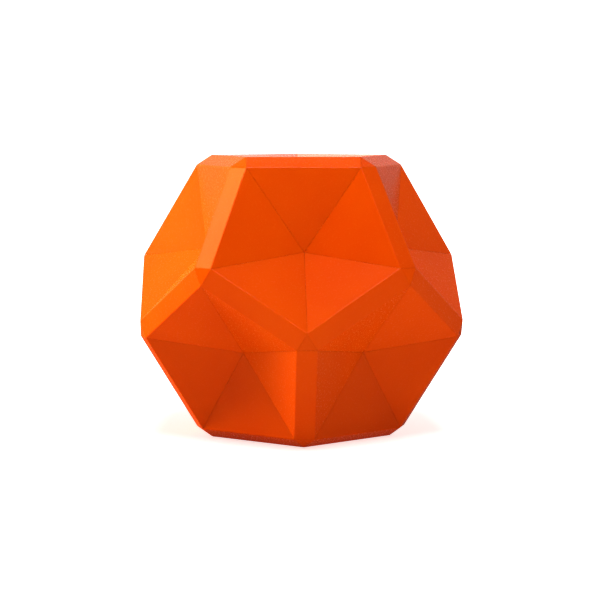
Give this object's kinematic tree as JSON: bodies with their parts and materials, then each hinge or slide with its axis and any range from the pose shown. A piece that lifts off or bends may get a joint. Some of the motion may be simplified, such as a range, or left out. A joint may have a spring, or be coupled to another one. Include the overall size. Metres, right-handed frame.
{
  "type": "corner-turning dodecahedron puzzle",
  "caption": "Corner-turning puzzle in the shape of a dodecahedron with hollowed faces, chamfered edges and cut-off corners.",
  "frame": {"origin": "centre of the puzzle, where all the turning axes meet", "axes": "+Z out through the middle of one face, -Y towards the upper face at the front"},
  "size_m": [0.0794, 0.0834, 0.07],
  "materials": {
    "shell_plastic": "gloss moulded orange plastic",
    "corner_plastic": "gloss moulded orange plastic",
    "core_plastic": "matte black moulded plastic"
  },
  "bodies": {
    "root": {"core": "core_plastic", "edge_top_0": "shell_plastic", "edge_upper_0": "shell_plastic", "edge_belt_0": "shell_plastic", "edge_bottom_0": "shell_plastic", "edge_top_1": "shell_plastic", "edge_upper_1": "shell_plastic", "edge_belt_3": "shell_plastic", "edge_lower_1": "shell_plastic", "edge_bottom_1": "shell_plastic", "edge_belt_4": "shell_plastic", "edge_belt_5": "shell_plastic", "edge_upper_3": "shell_plastic", "edge_belt_6": "shell_plastic", "edge_belt_7": "shell_plastic", "edge_lower_3": "shell_plastic", "edge_top_4": "shell_plastic", "edge_lower_4": "shell_plastic", "edge_bottom_4": "shell_plastic", "corner_top_0": "corner_plastic", "corner_upper_0": "corner_plastic", "corner_bottom_0": "corner_plastic", "corner_top_1": "corner_plastic", "corner_upper_1": "corner_plastic", "corner_lower_1": "corner_plastic", "corner_bottom_1": "corner_plastic", "corner_upper_2": "corner_plastic", "corner_lower_2": "corner_plastic", "corner_top_3": "corner_plastic", "corner_upper_3": "corner_plastic", "corner_lower_3": "corner_plastic", "corner_bottom_3": "corner_plastic", "corner_top_4": "corner_plastic", "corner_lower_4": "corner_plastic", "corner_bottom_4": "corner_plastic"},
    "turn_top_2": {"corner_top_2": "corner_plastic", "edge_top_2": "shell_plastic", "edge_top_3": "shell_plastic", "edge_upper_2": "shell_plastic"},
    "turn_upper_4": {"corner_upper_4": "corner_plastic", "edge_belt_8": "shell_plastic", "edge_belt_9": "shell_plastic", "edge_upper_4": "shell_plastic"},
    "turn_lower_0": {"corner_lower_0": "corner_plastic", "edge_belt_1": "shell_plastic", "edge_belt_2": "shell_plastic", "edge_lower_0": "shell_plastic"},
    "turn_bottom_2": {"corner_bottom_2": "corner_plastic", "edge_bottom_2": "shell_plastic", "edge_bottom_3": "shell_plastic", "edge_lower_2": "shell_plastic"}
  },
  "joints": [
    {"name": "turn_top_2", "type": "hinge", "parent": "root", "child": "turn_top_2", "pos_m": [0, 0, 0], "axis": [0, 0.6071, 0.7947], "continuous": true},
    {"name": "turn_upper_4", "type": "hinge", "parent": "root", "child": "turn_upper_4", "pos_m": [0, 0, 0], "axis": [-0.5774, -0.7947, 0.1876], "continuous": true},
    {"name": "turn_lower_0", "type": "hinge", "parent": "root", "child": "turn_lower_0", "pos_m": [0, 0, 0], "axis": [0.9342, -0.3035, -0.1876], "continuous": true},
    {"name": "turn_bottom_2", "type": "hinge", "parent": "root", "child": "turn_bottom_2", "pos_m": [0, 0, 0], "axis": [-0.3568, 0.4911, -0.7947], "continuous": true}
  ]
}
